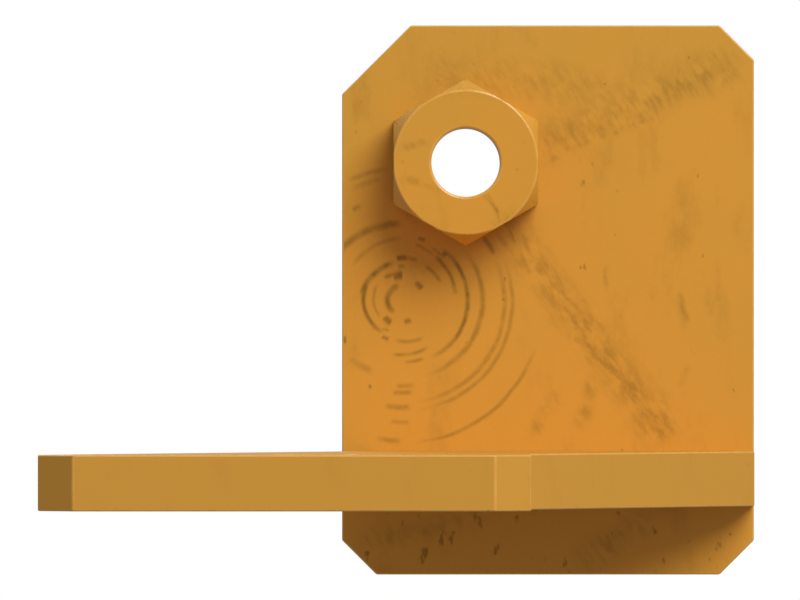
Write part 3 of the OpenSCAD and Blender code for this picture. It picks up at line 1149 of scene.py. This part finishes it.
@dataclass
class PlateAssembly(SubAssembly):
    """The mounting plate with its nut, shear bush, dowels and plugs."""

    small_corner: float = 10 * MM
    large_corner: float = 20 * MM
    edge_round: float = 0.45 * MM
    nut_height: float = 20 * MM
    nut_across_flats: float = 42 * MM
    nut_chamfer_angle: float = math.radians(30)
    nut_round: float = 0.4 * MM
    rim_inset: float = 0.3 * MM
    pilot_radius: float = 15 * MM
    pilot_depth: float = 6 * MM
    bore_radius: float = 10 * MM
    bore_break: float = 0.5 * MM
    bush_radius: float = 17 * MM
    spigot_radius: float = 16 * MM
    spigot_length: float = 6 * MM
    spigot_chamfer: float = 0.8 * MM
    anchor_radius: float = 2 * MM
    anchor_depth: float = 6 * MM
    dowel_body_radius: float = 7 * MM
    dowel_body_depth: float = 11 * MM
    dowel_radius: float = 6 * MM
    dowel_length: float = 8 * MM
    dowel_chamfer: float = 1 * MM
    slot_gap: float = 0.2 * MM
    screw_hole_radius: float = 4.4 * MM
    counterbore_depth: float = 9.5 * MM
    mouth_lip: float = 0.3 * MM
    plug_thickness: float = 2.4 * MM
    plug_round: float = 0.3 * MM
    dish_depth: float = 0.6 * MM
    dish_flare: float = 1.2 * MM

    def build(self) -> None:
        """Builds every piece."""
        self.plate = Span.of_node("mounting_plate")
        self.dowels = Span.of_node("locating_dowels")
        self.plugs = Span.of_node("screw_hole_plugs")
        anchors = Span.of_node("nut_anchor_pins")
        self.anchor_heights = anchors.low.z + self.anchor_radius, anchors.high.z - self.anchor_radius
        self.dowel_heights = (
            self.dowels.low.z + self.dowel_body_radius, self.dowels.high.z - self.dowel_body_radius
        )
        self.build_plate()
        self.build_nut()
        self.build_bush()
        self.build_dowels()
        self.build_plugs()

    def build_plate(self) -> None:
        """Cuts the plate's outline, rounds its edges and makes its holes."""
        low, high = self.plate.low, self.plate.high
        plate = Bench.block(low, high)
        for x, z, cut in (
            (low.x, high.z, self.large_corner),
            (high.x, high.z, self.small_corner),
            (low.x, low.z, self.small_corner),
            (high.x, low.z, self.small_corner),
        ):
            Bench.chamfer_edges(plate, lambda p: math.hypot(p.x - x, p.z - z) < 0.5 * MM, cut)
        Bench.soften(plate, self.edge_round)
        rear = low.y + self.pilot_depth
        Axis.Y.at(0, low.y, 0).drill(plate, self.pilot_depth, self.pilot_radius)
        Axis.Y.at(0, rear, 0).drill(plate, high.y - rear, self.bush_radius)
        for z in self.anchor_heights:
            Axis.Y.at(0, low.y, z).drill(plate, self.anchor_depth - OVERCUT, self.anchor_radius)
        for z in self.dowel_heights:
            start = Axis.Y.at(self.dowels.centre.x, high.y - self.dowel_body_depth + OVERCUT, z)
            start.drill(plate, self.dowel_body_depth, self.dowel_body_radius)
        slots = self.root.tabs(low.y - OVERCUT, high.y + OVERCUT, self.slot_gap)
        Bench.combine(plate, Merge.CUT, *slots)
        height = self.plugs.centre.z
        for x in self.root.screw_places():
            Axis.Y.at(x, low.y, height).drill(plate, self.plate.size.y, self.screw_hole_radius)
            mouth = Axis.Y.at(x, high.y, height)
            mouth.sink(plate, self.counterbore_depth, self.root.counterbore_radius, self.mouth_lip)
        self.hand_over(plate, "mounting_plate", Slot.PAINT, Coat.PLATE, Coat.EDGE)

    def build_nut(self) -> None:
        """Shapes the hexagonal nut: a six-sided bar trimmed by a cone, with a collar and a bore."""
        back = self.plate.low.y
        front = Axis.Y.at(0, back - self.nut_height, 0)
        corner = self.nut_across_flats / 2 / math.cos(HEX_ANGLE)
        nut = front.prism(self.nut_height, (corner, corner), 6)
        Bench.soften(nut, self.nut_round)
        Bench.combine(nut, Merge.TRIM, self.nut_chamfer(front))
        collar = Axis.Y.at(0, back - OVERCUT, 0).rod(self.pilot_depth + OVERCUT, self.pilot_radius)
        Bench.combine(nut, Merge.ADD, collar)
        front.drill(nut, self.nut_height + self.pilot_depth, self.bore_radius, self.bore_break)
        for z in self.anchor_heights:
            start = Axis.Y.at(0, back - self.anchor_depth + OVERCUT, z)
            start.drill(nut, self.anchor_depth, self.anchor_radius)
        self.hand_over(nut, "hex_nut", Slot.PAINT, Coat.PLATE, Coat.EDGE)

    def nut_chamfer(self, front: Spindle) -> Piece:
        """The turned shape that the hexagon is trimmed to.

        Args:
            front: the nut's axis, from its front face.

        Returns:
            The chamfer's cone, with two flatter ones in front of it that round its rim.
        """
        flats = self.nut_across_flats / 2
        cones = [
            (flats - inset, math.tan(angle))
            for angle, inset in (
                (math.radians(77), self.rim_inset * 1.8),
                (math.radians(56), self.rim_inset),
                (self.nut_chamfer_angle, 0.0),
            )
        ]
        rings = [Ring(-OVERCUT, cones[0][0] - cones[0][1] * OVERCUT)]
        for (near, steep), (far, gentle) in zip(cones, cones[1:]):
            meet = (far - near) / (steep - gentle)
            rings.append(Ring(meet, near + steep * meet, edge=True))
        end = self.nut_height + OVERCUT
        rings.append(Ring(end, cones[-1][0] + cones[-1][1] * end))
        return front.turned(rings, sides=192)

    def build_bush(self) -> None:
        """Turns the shear bush: a body in the plate and a chamfered spigot behind it."""
        length = self.plate.size.y - self.pilot_depth
        total = length + self.spigot_length
        mouth = self.bore_radius + self.mouth_lip
        rings = [
            Ring(0.0, self.bush_radius),
            Ring(length, self.bush_radius),
            Ring(length, self.spigot_radius),
            Ring(total - self.spigot_chamfer, self.spigot_radius),
            Ring(total, self.spigot_radius - self.spigot_chamfer),
            Ring(total, mouth),
            Ring(total - self.mouth_lip, self.bore_radius),
            Ring(self.mouth_lip, self.bore_radius),
            Ring(0.0, mouth),
        ]
        bush = Axis.Y.at(0, self.plate.high.y - length, 0).turned(rings, bored=True)
        self.hand_over(bush, "shear_bush", Slot.STEEL, Coat.STEEL)

    def build_dowels(self) -> None:
        """Turns the two stepped dowels."""
        shoulder = self.dowel_body_depth
        total = shoulder + self.dowel_length
        rings = [
            Ring(0.0, self.dowel_body_radius),
            Ring(shoulder, self.dowel_body_radius),
            Ring(shoulder, self.dowel_radius),
            Ring(total - self.dowel_chamfer, self.dowel_radius),
            Ring(total, self.dowel_radius - self.dowel_chamfer),
        ]
        x, y = self.dowels.centre.x, self.plate.high.y - shoulder
        pair = [Axis.Y.at(x, y, z).turned(rings) for z in self.dowel_heights]
        self.hand_over(Bench.join(pair), "locating_dowels", Slot.STEEL, Coat.STEEL)

    def build_plugs(self) -> None:
        """Presses the two plugs: discs with a rounded rim and a shallow dish."""
        pair: list[Piece] = []
        radius = self.root.counterbore_radius
        for x in self.root.screw_places():
            plug = Axis.Y.at(x, self.plugs.low.y, self.plugs.centre.z).rod(self.plug_thickness, radius)
            Bench.soften(plug, self.plug_round)
            floor = Axis.Y.at(x, self.plugs.high.y - self.dish_depth, self.plugs.centre.z)
            radii = radius * 0.6, radius * 0.6 + self.dish_flare
            Bench.combine(plug, Merge.CUT, floor.prism(self.dish_depth + OVERCUT, radii, 96))
            pair.append(plug)
        self.hand_over(Bench.join(pair), "screw_hole_plugs", Slot.DARK, Coat.DARK)


@dataclass
class BladeAssembly(SubAssembly):
    """The blade: a shank with its tabs and tongue, and the point that slides over the tongue."""

    heel: float = 10 * MM
    front_corner: float = 10.25 * MM
    front_side: float = 40 * MM
    edge_round: float = 0.5 * MM
    tongue_width: float = 84 * MM
    tongue_length: float = 28 * MM
    tongue_taper: float = 3 * MM
    cheek: float = 4.25 * MM
    socket_gap: float = 0.25 * MM
    tongue_gap: float = 0.4 * MM
    pin_hole_radius: float = 7.05 * MM
    pin_hole_break: float = 0.4 * MM
    head_recess_radius: float = 12.6 * MM
    head_recess_depth: float = 2 * MM
    recess_lip: float = 0.4 * MM
    lug_pocket_radius: float = 11.4 * MM
    lug_pocket_depth: float = 2.5 * MM
    lug_notch_angle: float = math.radians(72)
    screw_hole_radius: float = 4.05 * MM
    shoe_clearance: float = 0.1 * MM

    def build(self) -> None:
        """Builds both pieces."""
        self.plate = Span.of_node("mounting_plate")
        self.shank = Span.of_node("tooth_shank")
        self.point = Span.of_node("tooth_point")
        self.middle = Span.of_node("lock_pin").centre
        self.low = self.shank.low.z
        self.high = self.shank.high.z
        self.tongue_high = self.high - self.cheek - self.socket_gap
        self.root_left = self.plate.low.x + self.root.root_inset
        self.root_y = self.plate.low.y
        self.tip_y = self.point.low.y + self.front_corner
        self.split_y = self.point.high.y
        self.build_shank()
        self.build_point()

    def at_pin(self, z: float) -> Spindle:
        """The lock pin's axis, from a height upwards."""
        return Axis.Z.at(self.middle.x, self.middle.y, z)

    def station(self, y: float, right: float) -> Station:
        """The blade's cross-section at a place, from its slanting left edge to its right."""
        share = (self.root_y - y) / (self.root_y - self.tip_y)
        return Station(y, self.root_left + (self.point.low.x - self.root_left) * share, right)

    def tongue(self, gap: float) -> Piece:
        """The tongue's shape, or with a gap the space that it slides into.

        Args:
            gap: clearance at its sides and end.

        Returns:
            The shape.
        """
        middle = self.middle.x
        half = self.tongue_width / 2 + gap
        narrow = half - self.tongue_taper
        inset = self.cheek if gap else self.cheek + self.socket_gap
        return Bench.loft(
            self.low + inset, self.high - inset,
            Station(self.split_y + OVERLAP, middle - half, middle + half),
            Station(self.split_y - self.tongue_length - gap, middle - narrow, middle + narrow),
        )

    def build_shank(self) -> None:
        """Draws the shank from the plate to the point, adds its tabs and tongue, and drills it."""
        plate_right, point_right = self.plate.high.x, self.point.high.x
        shank = Bench.loft(
            self.low, self.high,
            Station(self.root_y, self.root_left, plate_right),
            self.station(self.root_y - self.heel, plate_right),
            self.station(self.tip_y + self.front_side, point_right),
            self.station(self.split_y, point_right),
        )
        Bench.soften(shank, self.edge_round)
        tabs = self.root.tabs(self.root_y - OVERLAP, self.shank.high.y)
        Bench.combine(shank, Merge.ADD, *tabs, self.tongue(0.0))
        self.drill_shank(shank)
        self.hand_over(shank, "tooth_shank", Slot.PAINT, Coat.BLADE, Coat.EDGE)

    def drill_shank(self, shank: Piece) -> None:
        """Makes the holes for the screws, the lock pin, its lugs, its stop and its friction shoe.

        Args:
            shank: the blade's shank.
        """
        start = Span.of_node("shank_screws").low.y
        for x in self.root.screw_places():
            screw = Axis.Y.at(x, start, Span.of_node("screw_hole_plugs").centre.z)
            screw.drill(shank, self.root_y - start, self.screw_hole_radius)
        self.at_pin(self.low).drill(shank, self.high - self.low, self.pin_hole_radius)
        pocket = self.at_pin(self.tongue_high - self.lug_pocket_depth + OVERCUT)
        pocket.drill(shank, self.lug_pocket_depth, self.lug_pocket_radius)
        stop = Span.of_node("rotation_stop_pin")
        seat = Axis.Z.at(stop.centre.x, stop.centre.y, stop.low.z + OVERCUT)
        seat.drill(shank, stop.size.z, stop.size.x / 2)
        shoe = Span.of_node("friction_shoe")
        gap = Vector((1, 1, 1)) * self.shoe_clearance
        low = Span.of_node("shoe_rubber").low - gap
        low.z = self.low + self.cheek
        high = Vector((self.middle.x, shoe.high.y, shoe.high.z)) + gap
        Bench.combine(shank, Merge.CUT, Bench.block(low, high))

    def build_point(self) -> None:
        """Draws the point, hollows its socket and cuts the lock pin's way through it."""
        left, right = self.point.low.x, self.point.high.x
        point = Bench.loft(
            self.low, self.high,
            self.station(self.split_y, right),
            Station(self.tip_y, left, right),
            Station(self.point.low.y, left + self.front_corner, right - self.front_corner),
        )
        Bench.soften(point, self.edge_round)
        Bench.combine(point, Merge.CUT, self.tongue(self.tongue_gap))
        hole = self.at_pin(self.low)
        hole.drill(point, self.high - self.low, self.pin_hole_radius, self.pin_hole_break)
        recess = self.at_pin(self.high)
        recess.sink(point, self.head_recess_depth, self.head_recess_radius, self.recess_lip)
        # Two notches let the lugs through the upper cheek when the pin is turned
        depth = self.cheek + self.socket_gap - self.head_recess_depth / 2
        notches = self.at_pin(self.tongue_high).sectors(
            depth, self.lug_pocket_radius, self.lug_notch_angle, sideways=False
        )
        Bench.combine(point, Merge.CUT, notches)
        self.hand_over(point, "tooth_point", Slot.PAINT, Coat.BLADE, Coat.EDGE)


@dataclass
class LockPinAssembly(SubAssembly):
    """The quarter-turn pin and the plug in its key socket."""

    body: str = "pin"
    shaft_radius: float = 7 * MM
    shaft_chamfer: float = 0.6 * MM
    head_radius: float = 12.2 * MM
    head_thickness: float = 1.6 * MM
    head_round: float = 0.35 * MM
    lug_radius: float = 11 * MM
    lug_thickness: float = 2.2 * MM
    lug_top: float = 4.35 * MM
    lug_angle: float = math.radians(66.9)
    key_radius: float = 5 * MM / math.cos(HEX_ANGLE)
    key_depth: float = 7 * MM
    groove_low: float = 1.2 * MM
    groove_height: float = 1.8 * MM
    groove_depth: float = 1.5 * MM
    plug_round: float = 0.3 * MM
    pry_half_length: float = 2.4 * MM
    pry_half_width: float = 0.5 * MM
    pry_depth: float = 0.8 * MM

    def build(self) -> None:
        """Builds the pin and its plug."""
        self.pin = Span.of_node("lock_pin")
        self.shank = Span.of_node("tooth_shank")
        self.build_pin()
        self.build_plug()

    def on_axis(self, z: float) -> Spindle:
        """The pin's axis, from a height upwards."""
        return Axis.Z.at(self.pin.centre.x, self.pin.centre.y, z)

    def build_pin(self) -> None:
        """Turns the pin, adds its lugs and cuts the key socket and seal groove."""
        foot = self.pin.low.z
        head = self.pin.high.z - self.head_thickness
        pin = self.on_axis(head).rod(self.head_thickness, self.head_radius)
        Bench.soften(pin, self.head_round)
        shaft = self.on_axis(foot).rod(head - foot + 0.5 * MM, self.shaft_radius)
        Bench.chamfer_edges(shaft, lambda p: p.z < foot + 0.1 * MM, self.shaft_chamfer)
        lugs = self.on_axis(self.shank.high.z - self.lug_top - self.lug_thickness).sectors(
            self.lug_thickness, self.lug_radius, self.lug_angle, sideways=True
        )
        Bench.combine(pin, Merge.ADD, shaft, lugs)
        socket = self.on_axis(self.pin.high.z - self.key_depth)
        radii = self.key_radius, self.key_radius
        Bench.combine(pin, Merge.CUT, socket.prism(self.key_depth + OVERCUT, radii, 6, HEX_ANGLE))
        groove = self.shank.low.z + self.groove_low
        ring = self.on_axis(groove).rod(self.groove_height, self.shaft_radius + OVERCUT)
        core = self.on_axis(groove - OVERCUT).rod(
            self.groove_height + 2 * OVERCUT, self.shaft_radius - self.groove_depth
        )
        Bench.combine(ring, Merge.CUT, core)
        Bench.combine(pin, Merge.CUT, ring)
        self.hand_over(pin, "lock_pin", Slot.STEEL, Coat.STEEL)

    def build_plug(self) -> None:
        """Moulds the hexagonal plug with a rounded rim and a pry slot."""
        span = Span.of_node("key_socket_plug")
        radii = span.size.x / 2, span.size.x / 2
        plug = self.on_axis(span.low.z).prism(span.size.z, radii, 6, HEX_ANGLE)
        Bench.soften(plug, self.plug_round)
        top = Vector((span.centre.x, span.centre.y, span.high.z))
        low = top - Vector((self.pry_half_length, self.pry_half_width, self.pry_depth))
        high = top + Vector((self.pry_half_length, self.pry_half_width, OVERCUT))
        Bench.combine(plug, Merge.CUT, Bench.block(low, high))
        self.hand_over(plug, "key_socket_plug", Slot.RUBBER, Coat.RUBBER)


@dataclass
class InnerPieces:
    """Frame nodes that keep their own shape: they sit inside, and only need their finish."""

    finishes: Finishes
    dressing: dict[str, Coat] = field(
        default_factory=lambda: {
            "nut_anchor_pins": Coat.STEEL,
            "shank_screws": Coat.DARK,
            "shank_lock_washers": Coat.STEEL,
            "rotation_stop_pin": Coat.STEEL,
            "friction_shoe": Coat.STEEL,
            "shoe_rubber": Coat.RUBBER,
            "pin_seal_ring": Coat.RUBBER,
        }
    )

    def build(self) -> None:
        """Gives each node its material."""
        for node, coat in self.dressing.items():
            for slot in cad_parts[node].material_slots:
                slot.link = "OBJECT"
                slot.material = self.finishes.made[coat]
            LOG.info("%s: keeps its frame shape", node)


# ---------------------------------------------------------------------------------------------------------
# Stage
# ---------------------------------------------------------------------------------------------------------


@dataclass
class Stage:
    """Pale floor, soft key light, even fill and a long-lens camera level with the plate's middle."""

    key_direction: Vector = field(default_factory=lambda: Vector((0.41, -0.643, 0.643)))
    light_distance: float = 3.0
    light_width: float = 2.2
    key_power: float = 89.0
    back_direction: Vector = field(default_factory=lambda: Vector((-0.35, 0.75, 0.55)))
    back_power: float = 25.0
    fill: float = 0.325
    lens: float = 932.4
    camera_distance: float = 6.038
    camera_reach: float = 60.0
    floor_size: float = 6.0
    floor_drop: float = 0.10

    def build(self) -> None:
        """Sets the stage."""
        scene = bpy.context.scene
        scene.view_settings.view_transform = "Standard"
        self.light_world(scene)
        self.add_light("key_light", self.key_direction, self.key_power)
        self.add_light("back_light", self.back_direction, self.back_power)
        self.add_floor()
        self.add_camera(scene)

    def light_world(self, scene: bpy.types.Scene) -> None:
        """Makes an even fill that is seen as a white background.

        Args:
            scene: the scene to light.
        """
        world = bpy.data.worlds.new("studio")
        scene.world = world
        world.use_nodes = True
        tree = world.node_tree
        seen = tree.nodes.new("ShaderNodeBackground")
        fill = tree.nodes["Background"]
        for node, strength in ((seen, 1.0), (fill, self.fill)):
            node.inputs["Color"].default_value = rgb(1, 1, 1)
            node.inputs["Strength"].default_value = strength
        ray = tree.nodes.new("ShaderNodeLightPath")
        choose = tree.nodes.new("ShaderNodeMixShader")
        tree.links.new(ray.outputs["Is Camera Ray"], choose.inputs["Fac"])
        tree.links.new(fill.outputs["Background"], choose.inputs[1])
        tree.links.new(seen.outputs["Background"], choose.inputs[2])
        tree.links.new(choose.outputs["Shader"], tree.nodes["World Output"].inputs["Surface"])

    def add_light(self, name: str, direction: Vector, power: float) -> None:
        """Adds a round soft light that faces the tooth.

        Args:
            name: the light's name.
            direction: the way from the tooth to the light.
            power: its power in watts.
        """
        low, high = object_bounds()
        middle = (Vector(low) + Vector(high)) / 2
        towards = direction.normalized()
        Bench.clear()
        bpy.ops.object.light_add(type="AREA", location=middle + towards * self.light_distance)
        light = bpy.context.object
        light.name = name
        light.data.shape = "DISK"
        light.data.size = self.light_width
        light.data.energy = power
        light.rotation_euler = towards.to_track_quat("Z", "Y").to_euler()

    def add_floor(self) -> None:
        """Adds a pale floor below the tooth, which hangs on its mounting face."""
        low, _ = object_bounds()
        Bench.clear()
        bpy.ops.mesh.primitive_plane_add(size=self.floor_size, location=(0, 0, low[2] - self.floor_drop))
        floor = Bench.settle()
        floor.name = "studio_floor"
        graph = Graph("floor_paper")
        paper = graph.mix(graph.noise(0.004, 3.0, 2.0), rgb(0.86, 0.86, 0.86), rgb(0.9, 0.9, 0.9))
        floor.data.materials.append(graph.surface({"Base Color": paper, "Roughness": 0.9}))
        # From below the floor is clear, so that the tooth's underside can be seen
        clear = graph.node("ShaderNodeBsdfTransparent", {}, {})
        side = graph.node("ShaderNodeNewGeometry", {}, {})
        sheet = graph.node(
            "ShaderNodeMixShader", {},
            {0: side.outputs["Backfacing"], 1: graph.shader.outputs["BSDF"], 2: clear.outputs["BSDF"]},
        )
        graph.feed(graph.tree.nodes["Material Output"].inputs["Surface"], sheet.outputs["Shader"])
        floor.visible_diffuse = False
        floor.visible_glossy = False
        floor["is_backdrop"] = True

    def add_camera(self, scene: bpy.types.Scene) -> None:
        """Adds the camera, level and far off.

        Args:
            scene: the scene that it looks at.
        """
        plate = Span.of_node("mounting_plate")
        middle_x = (Span.of_node("tooth_point").low.x + plate.high.x) / 2
        data = bpy.data.cameras.new("camera")
        data.lens = self.lens
        data.sensor_width = 36
        data.clip_end = self.camera_reach
        camera = bpy.data.objects.new("camera", data)
        scene.collection.objects.link(camera)
        camera.location = (middle_x, plate.low.y - self.camera_distance, plate.centre.z)
        camera.rotation_euler = (math.radians(90), 0, 0)
        scene.camera = camera


def main() -> None:
    """Builds the looks in order and reports each piece."""
    logging.basicConfig(level=logging.INFO, format="%(message)s", stream=sys.stdout)
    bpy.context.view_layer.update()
    Stage().build()
    finishes = Finishes(plate_front=Span.of_node("mounting_plate").low.y)
    finishes.build()
    for kind in (PlateAssembly, BladeAssembly, LockPinAssembly, InnerPieces):
        LOG.info("building %s", kind.__name__)
        kind(finishes).build()


if __name__ == "__main__":
    main()
